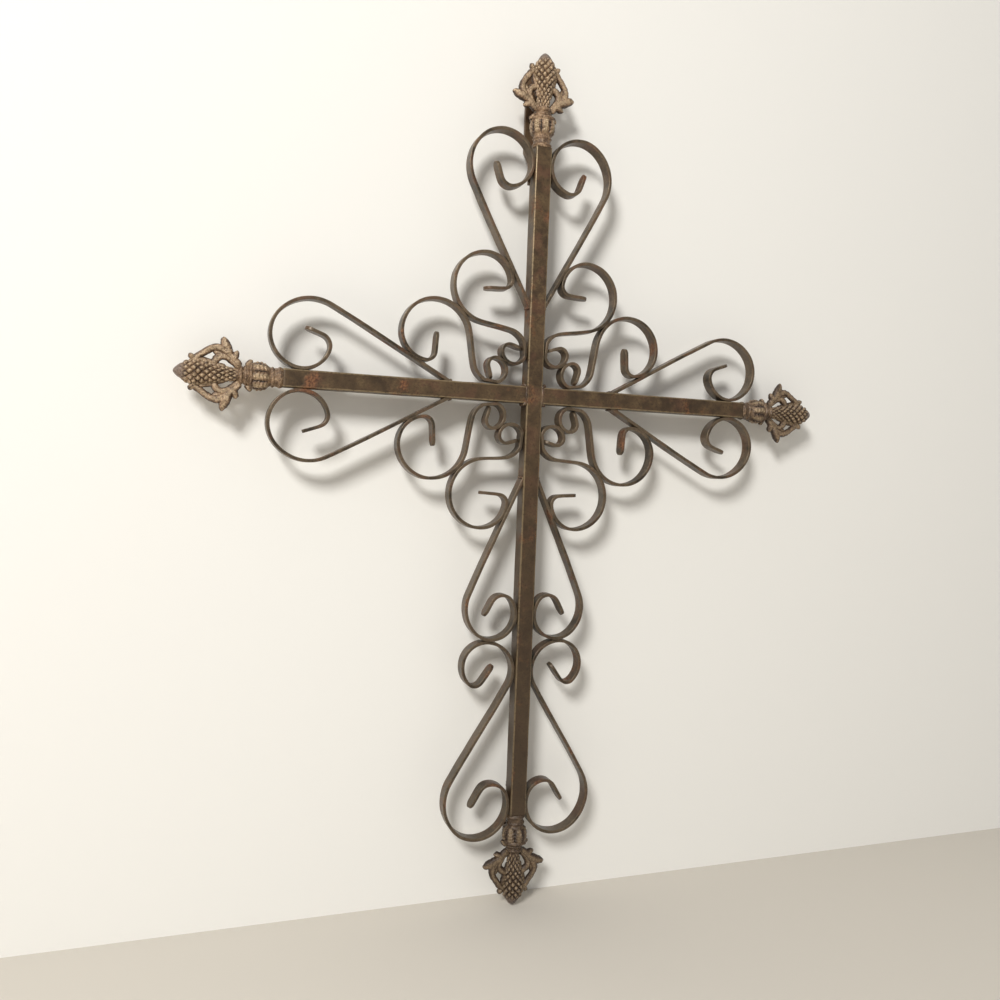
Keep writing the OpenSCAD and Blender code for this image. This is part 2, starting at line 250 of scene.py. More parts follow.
def rounded_section(half_width, half_depth, corner, points_per_corner=5):
    """Outline of a rectangle with round corners, and its wear, which is 1 on the corners.

    Each corner is a quarter circle, and each side runs straight to the next one,
    with points close to both corners to hold the wear on them.
    """
    signs = np.array(((1, 1), (-1, 1), (-1, -1), (1, -1)))
    centres = signs * (half_width - corner, half_depth - corner)
    turn = np.radians(np.linspace(0, 90, points_per_corner) + 90 * np.arange(4)[:, None])
    arcs = centres[:, None] + corner * np.stack([np.cos(turn), np.sin(turn)], -1)
    share = np.array(SIDE_SHARES)[:, None]
    sides = arcs[:, -1:] * (1 - share) + np.roll(arcs, -1, 0)[:, :1] * share
    side_wear = 0.4 * np.abs(share[:, 0] * 2 - 1) ** 9
    wear_and_shading = np.tile(np.concatenate([np.ones(points_per_corner), side_wear]), 4)
    return np.concatenate([arcs, sides], 1).reshape(-1, 2), wear_and_shading


def unit(vectors):
    """Vectors shortened or stretched to length 1."""
    return vectors / np.linalg.norm(vectors, axis=-1, keepdims=True)


def ripple(points, length, seed):
    """A wandering value of about -1 to 1 at each point: the sum of five slanted sine waves."""
    rng = np.random.default_rng(seed)
    total = np.zeros(len(points))
    for wave in range(5):
        direction = unit(rng.normal(size=3)) / (length * (0.6 + 0.25 * wave))
        total += np.sin(2 * np.pi * (points @ direction) + rng.uniform(0, 2 * np.pi))
    return total / 2.5


def square_bar(name, axis, seed):
    """Carries the rounded square along the node's box, with shallow dents all over it.

    The first and last rings are smaller by the bevel of the bar's cut ends.
    """
    low, high = (np.array(corner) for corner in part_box(name))
    # The inner ends of the arms are butted on the post, so they have no neck.
    low[axis] += NECK_LAP * (name != "arm_bar_right")
    high[axis] -= NECK_LAP * (name != "arm_bar_left")
    centre = (low + high) / 2
    across = 2 - axis
    section, wear_and_shading = rounded_section(BAR_HALF, BAR_HALF, BAR_CORNER)
    rings = int((high[axis] - low[axis]) / BAR_RING_PITCH) + 1
    inner = np.linspace(low[axis] + END_BEVEL, high[axis] - END_BEVEL, rings)
    along = np.concatenate([[low[axis]], inner, [high[axis]]])
    size = np.ones((len(along), 1))
    size[[0, -1]] = 1 - END_BEVEL / BAR_HALF
    points = np.zeros((len(along), len(section), 3))
    points[:, :, axis] = along[:, None]
    points[:, :, across] = centre[across] + section[:, 0] * size
    points[:, :, 1] = centre[1] + section[:, 1] * size
    points = points.reshape(-1, 3)
    dent = (ripple(points, 35 * MM, seed) * 0.07 + ripple(points, 9 * MM, seed + 1) * 0.03 + 0.05) * MM
    inward = centre - points
    inward[:, axis] = 0
    points += unit(inward) * dent[:, None]
    mesh = shell_mesh(name + "_bar", points, tube_faces(len(along), len(section)))
    add_piece(name + "_bar", mesh, np.tile(wear_and_shading, len(along)), bar_paint, "square_bar", name)


bar_paint = iron_finish("worn bar paint", dark=(64, 49, 33), base=(93, 74, 51), pale=(124, 103, 72),
                        rub=(172, 152, 118), rust_share=0.12, foot=0.85)
square_bar("post", axis=2, seed=11)
square_bar("arm_bar_left", axis=0, seed=23)
square_bar("arm_bar_right", axis=0, seed=37)

# ---- Flat bar scrolls -----------------------------------------------------------
# Each scroll is a length of flat bar bent cold on its flat side round a former,
# with its free ends cut half round, under the same paint as the bars. The legs
# of the hearts are cut on the slant and stand on the bars.

FLAT_CORNER = 0.45 * MM
RING_PITCH = 0.9 * MM
END_RINGS = 9
FOOT_RUN_ON = 2.6 * MM
LONG_END = 1.3
END_TURN = 2.9


def front_outline(node):
    """The points round a node's front face, in order, as x and z.

    An edge that two triangles share is there once each way, so an edge that is
    there one way only is on the outline.
    """
    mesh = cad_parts[node].data
    mesh.calc_loop_triangles()
    corners = np.empty(len(mesh.vertices) * 3)
    mesh.vertices.foreach_get("co", corners)
    triangles = np.empty(len(mesh.loop_triangles) * 3, int)
    mesh.loop_triangles.foreach_get("vertices", triangles)
    points, same = np.unique(corners.reshape(-1, 3).round(6), axis=0, return_inverse=True)
    triangles = same.ravel()[triangles].reshape(-1, 3)
    front = np.abs(points[:, 1] - points[:, 1].min()) < 0.01 * MM
    triangles = triangles[front[triangles].all(1)]
    edges = np.concatenate([triangles[:, [0, 1]], triangles[:, [1, 2]], triangles[:, [2, 0]]])
    known = {tuple(edge) for edge in edges.tolist()}
    following = {start: end for start, end in known if (end, start) not in known}
    loop = [min(following)]
    while following[loop[-1]] != loop[0]:
        loop.append(following[loop[-1]])
    return points[loop][:, [0, 2]]


def centre_line(node):
    """Stations of a scroll's centre line, the heading at each, the thickness, and any foot.

    The outline is taken anticlockwise, the way round in which its area is above 0.
    An end of the flat is an edge with a total turn of half a circle over its two
    corners. The stations are the corners of the long side without a notch, moved in
    by half the thickness along the bisector, over the cosine of half the turn.
    A foot is an end cut on the slant, so it is longer; the line starts there.
    """
    loop = front_outline(node)
    following = np.roll(loop, -1, 0)
    if (loop[:, 0] * following[:, 1] - loop[:, 1] * following[:, 0]).sum() < 0:
        loop = loop[::-1]
    step = unit(np.roll(loop, -1, 0) - loop)
    before = np.roll(step, 1, 0)
    turn = np.arctan2(before[:, 0] * step[:, 1] - before[:, 1] * step[:, 0], (before * step).sum(1))
    first, second = np.flatnonzero(turn + np.roll(turn, -1) > END_TURN)
    loop, step, before, turn = (np.roll(row, -first, 0) for row in (loop, step, before, turn))
    second -= first
    ends = np.stack([loop[:2], loop[second:second + 2]])
    side = slice(2, second)
    if turn[side].min() < -1:
        side = slice(second + 2, len(loop))
        ends = ends[::-1]
    lengths = np.linalg.norm(ends[:, 0] - ends[:, 1], axis=1)
    thick = lengths.min()
    heading = unit(before[side] + step[side])
    left = np.stack([-heading[:, 1], heading[:, 0]], -1)
    inset = thick / 2 / (heading * step[side]).sum(1)
    points = loop[side] + left * inset[:, None]
    points = np.concatenate([ends[:1].mean(1), points, ends[1:].mean(1)])
    heading = np.concatenate([before[side][:1], heading, step[side][-1:]])
    if lengths[1] > LONG_END * thick:
        points, heading = points[::-1], -heading[::-1]
    return points, heading, thick, bool(lengths.max() > LONG_END * thick)


def smooth_line(node):
    """The centre line as a smooth curve at even steps: points, headings, thickness, footed.

    Between two stations it is a cubic whose end tangents are the stations'
    headings, which follows the bends' arcs. A free end is carried on by half the
    width, where its round stops, and a foot runs on into the bar.
    """
    points, heading, thick, footed = centre_line(node)
    low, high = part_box(node)
    run_on = (high.y - low.y) / 2
    first = points[0] - heading[0] * (FOOT_RUN_ON if footed else run_on)
    final = points[-1] + heading[-1] * run_on
    points = np.concatenate([[first], points, [final]])
    heading = np.concatenate([heading[:1], heading, heading[-1:]])
    chord = np.linalg.norm(np.diff(points, axis=0), axis=1)
    half_turn = np.arccos(np.clip((heading[1:] * heading[:-1]).sum(1), -1, 1)) / 2
    arc = chord * np.where(half_turn > 1e-4, half_turn / np.maximum(np.sin(half_turn), 1e-9), 1)
    travelled = np.concatenate([[0], np.cumsum(arc)])
    place = np.linspace(0, travelled[-1], int(travelled[-1] / RING_PITCH))
    part = np.clip(np.searchsorted(travelled, place, "right") - 1, 0, len(arc) - 1)
    share = ((place - travelled[part]) / arc[part])[:, None]
    tangent, next_tangent = heading[part] * arc[part][:, None], heading[part + 1] * arc[part][:, None]
    line = ((2 * share ** 3 - 3 * share ** 2 + 1) * points[part]
            + (share ** 3 - 2 * share ** 2 + share) * tangent
            + (3 * share ** 2 - 2 * share ** 3) * points[part + 1]
            + (share ** 3 - share ** 2) * next_tangent)
    return line, unit(np.gradient(line, axis=0)), thick, footed


def with_round_end(line, heading, half):
    """Swaps the last stretch of a line for close rings whose half widths round its end off.

    The rings lie at even angles of the half round that the end is cut to.
    """
    radius = half[-1]
    kept = np.linalg.norm(line[-1] - line, axis=1) > radius
    kept[:len(line) // 2] = True
    angle = np.linspace(0, np.pi / 2, END_RINGS + 2)[:-1]
    behind = radius * (1 - np.sin(angle))
    rings = line[-1] - heading[-1] * behind[:, None]
    headings = np.tile(heading[-1], (END_RINGS + 1, 1))
    return (np.concatenate([line[kept], rings]), np.concatenate([heading[kept], headings]),
            np.concatenate([half[kept], radius * np.cos(angle)]))


def flat_scroll(node, seed):
    """Carries the flat's section along its centre line, and gives that line.

    The section keeps its round corners while its width follows the half widths:
    a point's corner part stays, and the rest of its depth is scaled.
    """
    line, heading, thick, footed = smooth_line(node)
    low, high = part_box(node)
    full = (high.y - low.y) / 2
    half = np.full(len(line), full)
    line, heading, half = with_round_end(line, heading, half)
    if not footed:
        line, heading, half = with_round_end(line[::-1], -heading[::-1], half[::-1])
    half = np.maximum(half, FLAT_CORNER * 1.2)
    section, wear_and_shading = rounded_section(thick / 2, full, FLAT_CORNER, 4)
    straight = full - FLAT_CORNER
    share = np.clip(section[:, 1] / straight, -1, 1)
    corner_part = section[:, 1] - share * straight
    normal = np.stack([-heading[:, 1], heading[:, 0]], -1)
    points = np.zeros((len(line), len(section), 3))
    points[:, :, [0, 2]] = line[:, None] + normal[:, None] * section[:, :1]
    points[:, :, 1] = (low.y + high.y) / 2 + share * (half[:, None] - FLAT_CORNER) + corner_part
    points = points.reshape(-1, 3)
    dent = (ripple(points, 30 * MM, seed) * 0.07 + ripple(points, 8 * MM, seed + 1) * 0.035) * MM
    points[:, [0, 2]] += np.repeat(normal, len(section), 0) * dent[:, None]
    near_end = np.repeat(half < full * 0.999, len(section))
    mesh = shell_mesh(node + "_flat", points, tube_faces(len(line), len(section)))
    worn = np.maximum(np.tile(wear_and_shading, len(line)), 0.5 * near_end)
    add_piece(node + "_flat", mesh, worn, scroll_paint, "flat_bar", node)
    return line


scroll_paint = iron_finish("worn scroll paint", dark=(50, 42, 31), base=(100, 85, 67),
                           pale=(132, 116, 95), rub=(124, 107, 84), rust_share=0.12, foot=0.35)
scrolls = sorted(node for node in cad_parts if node.startswith(("heart", "corner", "foot")))
lines = {node: flat_scroll(node, seed=100 + 7 * number) for number, node in enumerate(scrolls)}

# ---- Welds ------------------------------------------------------------------------
# Small beads of weld hold it all together: down the grooves where scrolls touch
# a bar or each other, round the feet of the hearts, on the seams of the arms and
# along the straps.

TOUCH = 0.35 * MM
BEAD_RADIUS = 0.85 * MM
BEAD_RINGS = 11
BEAD_AROUND = 10
FOOT_BEAD_REACH = 4.6 * MM
STRAP_BEAD_REACH = 3.2 * MM
STRAP_BEAD_PLACES = (5, 13)
flat_thick = centre_line(scrolls[0])[2]
back_y = crossing.y + BAR_HALF
front_y = crossing.y - BAR_HALF
beads = []


def add_bead(centre, reach, radius, seed):
    """A lumpy capsule from centre - reach to centre + reach.

    The rings' radius follows a blunt ellipse, with a sine wave and a random share
    of it on top.
    """
    rng = np.random.default_rng(seed)
    centre = np.array(centre, float)
    reach = np.array(reach, float)
    along = np.cos(np.linspace(np.pi, 0, BEAD_RINGS + 2))[1:-1]
    round_part = (1 - np.abs(along) ** 3.5) ** 0.5
    lumps = 1 + 0.16 * np.sin(along * 7 + rng.uniform(0, 6)) + rng.uniform(-0.08, 0.08, len(along))
    side = unit(np.cross(unit(reach), (0.31, 0.52, 0.79)))
    other = np.cross(unit(reach), side)
    turn = np.linspace(0, 2 * np.pi, BEAD_AROUND + 1)[:-1]
    ring = np.cos(turn)[:, None] * side + np.sin(turn)[:, None] * other
    size = (radius * round_part * lumps)[:, None, None]
    points = centre + along[:, None, None] * reach + size * ring
    beads.append((points.reshape(-1, 3), tube_faces(len(along), len(turn))))


def join_parts(parts):
    """Several pairs of points and faces as one pair, with the faces' numbers moved on."""
    points, faces, start = [], [], 0
    for part_points, part_faces in parts:
        points.append(part_points)
        faces += [[number + start for number in face] for face in part_faces]
        start += len(part_points)
    return np.concatenate(points), faces


def touching_rings(distance, reach):
    """Places along a line where its distance to something is lowest and under reach."""
    lowest = (distance <= np.roll(distance, 1)) & (distance <= np.roll(distance, -1))
    lowest[[0, -1]] = False
    return np.flatnonzero(lowest & (distance < reach))


def bar_touches(line):
    """Where a line's flat lies against the side of the post or of an arm, and which way it runs."""
    found = []
    for across, heading in ((0, (0, 1)), (1, (1, 0))):
        axis_line = (crossing.x, crossing.z)[across]
        away = line[:, across] - axis_line
        for ring in touching_rings(np.abs(away) - BAR_HALF, flat_thick / 2 + TOUCH):
            place = line[ring].copy()
            place[across] = axis_line + np.sign(away[ring]) * BAR_HALF
            found.append((place, np.array(heading)))
    return found


def scroll_touches(line, other):
    """Where two scrolls lie against each other, halfway between their centre lines."""
    found = []
    apart = np.linalg.norm(line[:, None] - other[None], axis=2)
    for ring in touching_rings(apart.min(1), flat_thick + TOUCH):
        partner = other[apart[ring].argmin()]
        across = unit(partner - line[ring])
        found.append(((line[ring] + partner) / 2, np.array((-across[1], across[0]))))
    return found


touches = [touch for name in scrolls for touch in bar_touches(lines[name])]
for number, name in enumerate(scrolls):
    for other in scrolls[number + 1:]:
        touches += scroll_touches(lines[name], lines[other])

# A bead in the groove on each side of every touch.
for number, (place, heading) in enumerate(touches):
    for side in (-1, 1):
        rng = np.random.default_rng(500 + 2 * number + (side > 0))
        spot = place + heading * side * rng.uniform(1.9, 2.5) * MM
        depth = rng.uniform(3.2, 4.2) * MM
        shift = rng.uniform(-0.4, 0.4) * MM
        add_bead((spot[0], crossing.y + shift, spot[1]), (0, depth, 0),
                 BEAD_RADIUS * rng.uniform(0.8, 1.15), seed=700 + 2 * number + (side > 0))

# Two at each heart's foot: one in the sharp corner, and a fatter one in the open corner.
for number, name in enumerate(name for name in scrolls if name.startswith("heart")):
    foot, following = lines[name][[0, 3]]
    heading = unit(following - foot)
    on_post = name.startswith(("heart_top", "heart_bottom"))
    bar_centre = np.array((crossing.x, foot[1]) if on_post else (foot[0], crossing.z))
    inward = np.array((-heading[1], heading[0]))
    inward *= np.sign((inward * (bar_centre - foot)).sum())
    for side, along, size in ((1, 5.4, 1.0), (-1, 1.0, 1.35)):
        spot = foot + heading * along * MM + inward * side * 1.4 * MM
        add_bead((spot[0], crossing.y, spot[1]), (0, FOOT_BEAD_REACH, 0), BEAD_RADIUS * size,
                 seed=1200 + 2 * number + side)

# On each arm's seam: down the front and the back, along the top and the underside,
# and a short slanted one at each front corner. On each strap: two on each long edge.
for side in (-1, 1):
    seam = crossing.x + side * BAR_HALF
    add_bead((seam + side * 0.3 * MM, front_y + 0.6 * MM, crossing.z), (0, 0, BAR_HALF * 1.02),
             1.05 * MM, seed=1300 + side)
    add_bead((seam + side * 0.3 * MM, back_y - 0.5 * MM, crossing.z), (0, 0, BAR_HALF * 0.95),
             0.8 * MM, seed=1310 + side)
    for up in (-1, 1):
        edge = crossing.z + up * BAR_HALF
        add_bead((seam + side * 0.6 * MM, crossing.y, edge + up * 0.4 * MM), (0, BAR_HALF * 0.9, 0),
                 1.6 * MM, seed=1320 + 2 * side + up)
        add_bead((seam + side * 0.6 * MM, front_y + 1.15 * MM, edge),
                 (side * 2.2 * MM, 0, up * 1.8 * MM), 1.35 * MM, seed=1330 + 2 * side + up)
    for strap, end, sign in (("hanger_strap", 0, 1), ("lower_strap", 1, -1)):
        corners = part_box(strap)
        edge = crossing.x + side * (corners[1].x - corners[0].x) / 2
        for along in STRAP_BEAD_PLACES:
            place = corners[end].z + sign * along * MM
            add_bead((edge, back_y + 0.5 * MM, place), (0, 0, STRAP_BEAD_REACH), 1.0 * MM,
                     seed=1350 + along + side)

weld_paint = iron_finish("weld paint", dark=(50, 39, 30), base=(90, 72, 54), pale=(140, 120, 92),
                         rub=(170, 150, 118), rust_share=0.12)
bead_points, bead_faces = join_parts(beads)
add_piece("welds", shell_mesh("welds", bead_points, bead_faces), np.full(len(bead_points), 0.45),
          weld_paint, "flat_bar")

# ---- Finials ------------------------------------------------------------------------
# Four castings from one pattern: a pine cone held between two leaf brackets, with
# collars, a leafy bulb and a neck that is welded on the end of the square bar.
# They are rusted to a warm tan with a bare grey tip; painted shade darkens their hollows, their brackets'
# sides and most of all the bottom and right castings, and painted highlights lie on their crests.

CONE_SCALES = 10
SCALE_PITCH = 5.3 * MM
BULB_LEAVES = 8
CAST_AROUND = 210
CAST_ALONG = 330
LUMP_HEIGHT = 0.16 * MM
GRAIN_HEIGHT = 0.07 * MM
LIMB_AROUND = 24
LIMB_RINGS_PER_STATION = 9
LIMB_SMOOTHING = 14
OUTWARD = {"top": (0, 0, 1), "right": (1, 0, 0), "bottom": (0, 0, -1), "left": (-1, 0, 0)}

# The turned outline: depth from the tip, and radius. It ends half a millimetre
# inside the bar.
CAST_PROFILE = np.array((
    (0, 0), (0.15, 0.75), (0.6, 1.5), (1.5, 2.6), (3, 3.9), (5, 5.1), (7, 6.3), (10, 7.5), (13, 8.1),
    (17, 8.0), (22, 7.2), (28, 6.0), (34, 4.9), (40, 4.2), (41.6, 4.3), (42.4, 5.9), (43.5, 6.9),
    (44.6, 5.9), (45.0, 5.4), (45.5, 5.9), (46.6, 6.9), (47.7, 6.4), (48.6, 7.6), (49.4, 9.2), (50.1, 9.45),
    (50.9, 8.9), (51.6, 8.6), (53.5, 9.15), (56, 9.35), (58.5, 8.95), (60.8, 8.0), (62.4, 6.8), (63.4, 6.5),
    (64.0, 6.9), (64.6, 7.3), (65.2, 6.9), (65.8, 6.5), (68.0, 6.5), (68.6, 7.0), (69.3, 7.5), (70.0, 7.3),
    (70.8, 7.0), (71.5, 6.6))) * MM

# Each limb of a bracket: its thickness from front to back over its width, then
# the depth, reach and radius of each of its stations.
BRACKET_LIMBS = {
    "outer rib": (0.95, (
        (12.6, 5.4, 2.2), (13.4, 8.2, 2.7), (15.2, 10.2, 2.6), (18.0, 12.4, 2.4), (21.2, 14.8, 2.4),
        (24.8, 16.9, 2.5), (28.5, 17.6, 2.9), (32.5, 16.0, 3.1), (36.5, 12.6, 2.9), (40.5, 8.8, 2.6),
        (43.5, 5.5, 2.4))),
    "knob": (1.0, (
        (10.6, 8.6, 1.6), (11.5, 9.6, 2.8), (12.3, 10.6, 2.9), (13.1, 11.6, 1.6))),
    "big leaf": (0.9, (
        (37, 11.5, 2.6), (35.2, 15, 3.5), (33.8, 18, 3.7), (32.8, 20.8, 3.3), (32.1, 23.2, 2.3),
        (32.0, 25.2, 0.6))),
    "small leaf": (1.0, (
        (38, 9.5, 2.5), (39.4, 12, 2.7), (40.6, 14.5, 2.3), (41.0, 16.5, 0.6))),
    "inner rib": (0.95, (
        (24.8, 4.5, 2.2), (26.2, 7.4, 2.6), (28.0, 10.4, 2.8), (30.5, 12.2, 2.7), (34, 11.6, 2.5),
        (37.4, 9.4, 2.4), (40.5, 6.6, 2.2), (42.5, 4.5, 2.0))),
    "web": (0.6, (
        (25, 16, 1.6), (27.5, 15.0, 2.6), (30.5, 14.2, 3.2), (34.5, 12.6, 3.3), (38.5, 9.2, 2.8),
        (42, 6, 2.2))),
    "shoulder": (0.85, (
        (12.5, 7, 2.0), (16.5, 8.3, 2.2), (20, 8.0, 2.3), (24.5, 6.8, 2.2), (29, 5.4, 2.0),
        (34, 4.4, 1.8))),
    "cup curl": (1.2, (
        (46.8, 6.5, 1.4), (48.6, 8.4, 1.8), (50.0, 9.8, 1.7), (50.6, 10.8, 0.8))),
}


def cast_finish():
    """Rusted cast iron: tan crests, rubbed pale and with a painted highlight, hollows in deep brown painted
    shade, and a bare grey tip.

    The castings also carry tip, which is 1 at the tip, and a share of painted shade, which darkens that
    whole casting.
    """
    material, place, wear_and_shading = new_finish("rusted cast iron")
    painted_shade = place.attribute("painted_shade")
    mottle = place.noise(6 * MM, 4, 0.6)
    blotch = place.noise(2.8 * MM, 4, 0.65, 6.6)
    grain = place.noise(1.2 * MM, 4, 0.65, 4.4)
    pits = place.noise(0.5 * MM, 2, 0.5, 8.8)
    tone = place.colour(100, 76, 56).mix(place.colour(160, 130, 102), mottle.ramp(0.36, 0.60))
    tone = tone.mix(place.colour(200, 170, 136), (mottle * 0.3 + grain * 0.7).ramp(0.50, 0.66) * 0.75)
    # Painted shade: the casting's share of painted shade darkens it as a whole, adds dark blotches and dims
    # its painted highlights.
    tone = tone.mix(place.colour(74, 54, 40), (blotch * 0.8 + painted_shade * 0.14).ramp(0.44, 0.56) * 0.7)
    tone = tone.mix(place.colour(54, 41, 28), painted_shade * 0.68)
    # Painted shade, dark brown where the wear and shading value is low: in the hollows between scales and
    # leaves and on the sides of the bracket limbs.
    painted_hollow_shade = (wear_and_shading + grain * 0.5 - 0.25).ramp(0.5, 0.05)
    tone = tone.mix(place.colour(40, 26, 17), painted_hollow_shade * 0.95)
    # Rubbed pale crests with a painted highlight, where the wear and shading value is high.
    crest_wear_and_highlight = (wear_and_shading * 0.9 + grain * 0.7 - 0.7).ramp(0.15, 0.5)
    tone = tone.mix(place.colour(206, 182, 148), crest_wear_and_highlight * (0.65 - painted_shade * 0.35))
    tone = tone.mix(place.colour(104, 92, 88), place.attribute("tip") * 0.75)
    soot = grain.ramp(0.46, 0.34)
    tone = tone.mix(place.colour(48, 32, 22), soot * 0.55)
    relief = mottle * 0.5 + grain * 0.5 + pits * 0.3
    set_surface(tone, 0.24 + mottle * 0.2, 0.1 + crest_wear_and_highlight * 0.25, relief, 0.8 * MM)
    return material


def pillow(value):
    """1 in the middle of each whole step of a value and 0 on the steps, with rounded shoulders."""
    return 1 - np.abs(2 * (value % 1) - 1) ** 2.6


def window(value, low, high, soft):
    """1 between low and high, and 0 outside them, over a smooth step of width soft."""
    rise = np.clip((value - low) / soft, 0, 1)
    fall = np.clip((high - value) / soft, 0, 1)
    return (3 * rise ** 2 - 2 * rise ** 3) * (3 * fall ** 2 - 2 * fall ** 3)


def cast_body():
    """The turned part with its relief, as points of reach, front and depth, faces, and wear and shading
    values.

    The radius is the profile's, plus diamond pillows on the cone between two
    families of spirals, plus upright leaves with a midrib round the cup and bulb.
    """
    depth = np.linspace(0, CAST_PROFILE[-1, 0], CAST_ALONG)
    depth[0] = 0.03 * MM
    turn = np.linspace(0, 2 * np.pi, CAST_AROUND + 1)[:-1]
    deep, around = np.meshgrid(depth, turn, indexing="ij")
    radius = np.interp(deep, *CAST_PROFILE.T)
    spiral = CONE_SCALES * around / (2 * np.pi)
    scale = pillow(spiral + deep / SCALE_PITCH) * pillow(spiral - deep / SCALE_PITCH)
    on_cone = window(deep, 4.5 * MM, 42 * MM, 3 * MM)
    scale_size = np.clip(radius / (8 * MM), 0.45, 1)
    relief = on_cone * scale_size * (2.1 * MM * scale - 1.15 * MM)
    leaf_turn = around * BULB_LEAVES / 2
    leaf = np.abs(np.cos(leaf_turn + 0.3))
    midrib = np.exp(-((np.sin(leaf_turn + 0.3) / 0.16) ** 2))
    on_bulb = window(deep, 50.6 * MM, 62.4 * MM, 2.2 * MM)
    relief += on_bulb * (1.3 * MM * leaf ** 0.55 - 0.75 * MM - 0.3 * MM * midrib)
    relief += on_bulb * 0.28 * MM * np.sin(deep / (0.42 * MM) + 4 * leaf)
    on_cup = window(deep, 48.3 * MM, 51 * MM, 1.1 * MM)
    relief += on_cup * (0.9 * MM * np.abs(np.cos(leaf_turn - 0.5)) - 0.35 * MM)
    # Wear and shading values: high on the scale and leaf tops, for rubbed crests with a painted highlight,
    # and low in the grooves, for painted shade.
    height = on_cone * scale ** 0.6 + on_bulb * leaf + on_cup * 0.6
    plain = 1 - np.clip(on_cone + on_bulb + on_cup, 0, 1)
    wear_and_shading = np.clip(height * 0.95 + plain * 0.6, 0, 1)
    radius = np.maximum(radius + relief, 0.02 * MM)
    points = np.stack([radius * np.cos(around), radius * np.sin(around), deep], -1)
    return points.reshape(-1, 3), tube_faces(CAST_ALONG, CAST_AROUND), wear_and_shading.ravel()


def bracket_limb(flatness, stations):
    """A tube of ellipses along a smoothed line through the stations, as cast_body gives it.

    Its front and back have a shallow crease down the middle, and its ends close
    over their last few rings.
    """
    stations = np.array(stations) * MM
    place = np.linspace(0, len(stations) - 1, len(stations) * LIMB_RINGS_PER_STATION)
    depth, reach, radius = (np.interp(place, np.arange(len(stations)), column) for column in stations.T)
    for _ in range(LIMB_SMOOTHING):
        for column in (depth, reach, radius):
            column[1:-1] = (column[:-2] + 2 * column[1:-1] + column[2:]) / 4
    for end in (slice(0, 4), slice(-1, -5, -1)):
        radius[end] *= (0.3, 0.66, 0.86, 0.96)
    path = np.stack([reach, depth], -1)
    heading = unit(np.gradient(path, axis=0))
    side = np.stack([-heading[:, 1], heading[:, 0]], -1)
    turn = np.linspace(0, 2 * np.pi, LIMB_AROUND + 1)[:-1]
    crease = np.exp(-(np.cos(turn) / 0.25) ** 2)
    points = np.zeros((len(place), len(turn), 3))
    points[:, :, [0, 2]] = path[:, None] + side[:, None] * (radius[:, None] * np.cos(turn))[:, :, None]
    points[:, :, 1] = radius[:, None] * flatness * np.sin(turn) * (1 - 0.12 * crease)
    # Painted light: high on the limb's front and back for a painted highlight, falling to painted shade on
    # its sides, and a little painted shade down the crease.
    wear_and_shading = 0.12 + 0.88 * np.sin(turn) ** 4 - 0.2 * crease
    return points.reshape(-1, 3), tube_faces(len(place), len(turn)), np.tile(wear_and_shading, len(place))


def add_finial(node, painted_shade, seed):
    """Joins the turned part and its brackets, roughens them, and stands them on the bar's end.

    Reach turns to the sideways direction, and depth runs back from the tip.
    """
    parts = [cast_body()]
    for side in (-1, 1):
        for flatness, stations in BRACKET_LIMBS.values():
            points, faces, wear_and_shading = bracket_limb(flatness, stations)
            parts.append((points * (side, 1, 1), faces, wear_and_shading))
    wear_and_shading = np.concatenate([part[2] for part in parts])
    local, faces = join_parts([part[:2] for part in parts])
    lumps = np.stack([ripple(local, 4.5 * MM, seed + axis) for axis in (3, 5, 8)], -1)
    small = np.stack([ripple(local, 1.6 * MM, seed + axis) for axis in (13, 15, 18)], -1)
    rough = window(local[:, 2], 0.5 * MM, 70 * MM, 4 * MM)[:, None]
    local += (lumps * LUMP_HEIGHT + small * GRAIN_HEIGHT) * rough
    outward = np.array(OUTWARD[node.split("_")[1]])
    sideways = np.cross((0, 1, 0), outward)
    axis = np.abs(outward).argmax()
    low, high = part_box(node)
    tip = np.array(crossing)
    tip[axis] = high[axis] if outward[axis] > 0 else low[axis]
    points = tip + local @ np.stack([sideways, (0, 1, 0), -outward])
    mesh = shell_mesh(node + "_cast", points, faces)
    set_attribute(mesh, "tip", np.clip(1.3 - local[:, 2] / (7 * MM), 0, 1))
    # The casting's share of painted shade, the same all over it.
    set_attribute(mesh, "painted_shade", np.full(len(local), painted_shade))
    add_piece(node + "_cast", mesh, wear_and_shading, cast_iron, "cast_iron", node)


cast_iron = cast_finish()
# Each casting is given a share of painted shade: least on the top and left ones, most on the right and
# bottom ones.
add_finial("finial_top", painted_shade=0.1, seed=900)
add_finial("finial_left", painted_shade=0.2, seed=931)
add_finial("finial_right", painted_shade=0.7, seed=962)
add_finial("finial_bottom", painted_shade=1.0, seed=993)

# ---- Straps behind ------------------------------------------------------------------
# Two short flats, welded on the back of the post. The top one steps back to the
# wall and has the hanging hole in its round head; the bottom one passes behind the
# lower finial's bulb.

EDGE_BREAK = 0.45 * MM


def add_strap(node):
    """The node's own shape as a new piece, merged, with its edges broken by a small bevel."""
    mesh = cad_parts[node].data.copy()
    mesh.materials.clear()
    shell = bmesh.new()
    shell.from_mesh(mesh)
    bmesh.ops.remove_doubles(shell, verts=shell.verts, dist=0.001 * MM)
    bmesh.ops.dissolve_limit(shell, angle_limit=0.02, verts=shell.verts, edges=shell.edges)
    shell.to_mesh(mesh)
    shell.free()
    mesh.shade_flat()
    wear_and_shading = np.full(len(mesh.vertices), 0.4)
    piece = add_piece(node + "_flat", mesh, wear_and_shading, strap_paint, "strap", node)
    bevel = piece.modifiers.new("broken edges", "BEVEL")
    bevel.width = EDGE_BREAK
    bevel.segments = 3
    bevel.limit_method = "ANGLE"
    bevel.angle_limit = np.radians(40)


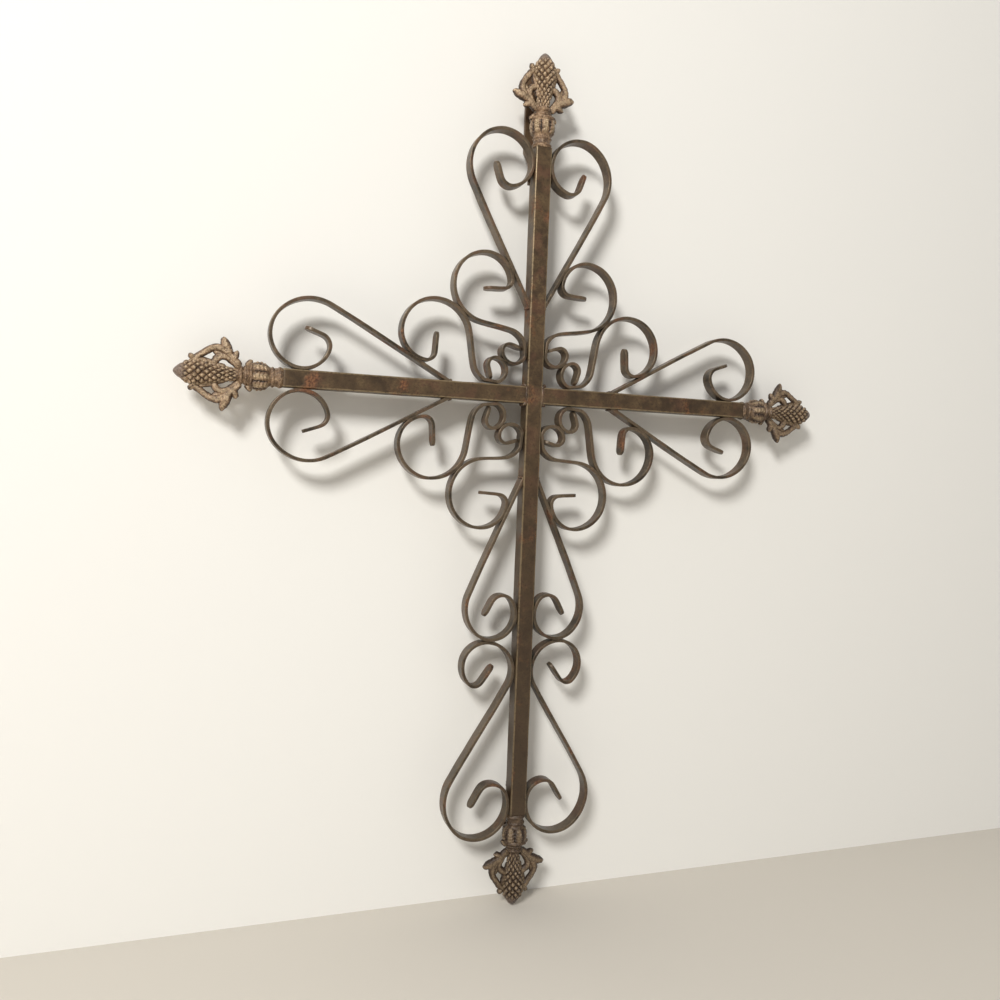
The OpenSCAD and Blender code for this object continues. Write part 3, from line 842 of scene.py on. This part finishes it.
strap_paint = iron_finish("worn strap paint", dark=(60, 46, 33), base=(95, 75, 54),
                          pale=(126, 104, 78), rub=(150, 130, 98), rust_share=0.08)
add_strap("hanger_strap")
add_strap("lower_strap")

# ---- Wall, floor and light --------------------------------------------------------------
# A pale wall that the cross hangs on, a plain pale floor just below it, one large
# soft lamp at the upper left and a weak fill all round.

STAGE_REACH = 3.0
FLOOR_DEPTH = 4.0
wall_y = 0.6 * MM
floor_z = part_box("finial_bottom")[0].z - 1.0 * MM


def stage_sheet(name, corners, colour, one_sided=False):
    """A flat sheet of plain matt colour. A one-sided one is clear when seen from behind."""
    mesh = bpy.data.meshes.new(name)
    mesh.from_pydata(corners, [], [(0, 1, 2, 3)])
    material = bpy.data.materials.new(name)
    material.use_nodes = True
    material.node_tree.nodes.clear()
    start = Value(material.node_tree)
    paint = start.node("ShaderNodeBsdfDiffuse", (), {"Color": screen_colour(*colour)})
    if one_sided:
        behind = start.node("ShaderNodeNewGeometry", output=6)
        clear = start.node("ShaderNodeBsdfTransparent")
        paint = start.node("ShaderNodeMixShader", (), {0: behind, 1: paint, 2: clear})
    start.node("ShaderNodeOutputMaterial", (), {"Surface": paint})
    mesh.materials.append(material)
    sheet = bpy.data.objects.new(name, mesh)
    bpy.context.scene.collection.objects.link(sheet)


stage_sheet("wall", [(-STAGE_REACH, wall_y, floor_z), (STAGE_REACH, wall_y, floor_z),
                     (STAGE_REACH, wall_y, STAGE_REACH), (-STAGE_REACH, wall_y, STAGE_REACH)],
            colour=(243, 241, 236), one_sided=True)
stage_sheet("floor", [(-STAGE_REACH, -FLOOR_DEPTH, floor_z), (STAGE_REACH, -FLOOR_DEPTH, floor_z),
                      (STAGE_REACH, FLOOR_DEPTH, floor_z), (-STAGE_REACH, FLOOR_DEPTH, floor_z)],
            colour=(214, 208, 198))

key_light = bpy.data.lights.new("key", "AREA")
key_light.shape = "DISK"
key_light.size = 0.55
key_light.energy = 37
key_light.color = (1.0, 0.99, 0.965)
key_lamp = bpy.data.objects.new("key", key_light)
key_lamp.location = crossing + Vector((-1.15, -1.55, 1.05))
aim = crossing + Vector((0.02, 0, -0.05)) - key_lamp.location
key_lamp.rotation_euler = aim.to_track_quat("-Z", "Y").to_euler()
bpy.context.scene.collection.objects.link(key_lamp)

fill = bpy.data.worlds.new("fill")
fill.use_nodes = True
fill.node_tree.nodes["Background"].inputs["Color"].default_value = (1, 1, 1, 1)
fill.node_tree.nodes["Background"].inputs["Strength"].default_value = 0.36
bpy.context.scene.world = fill
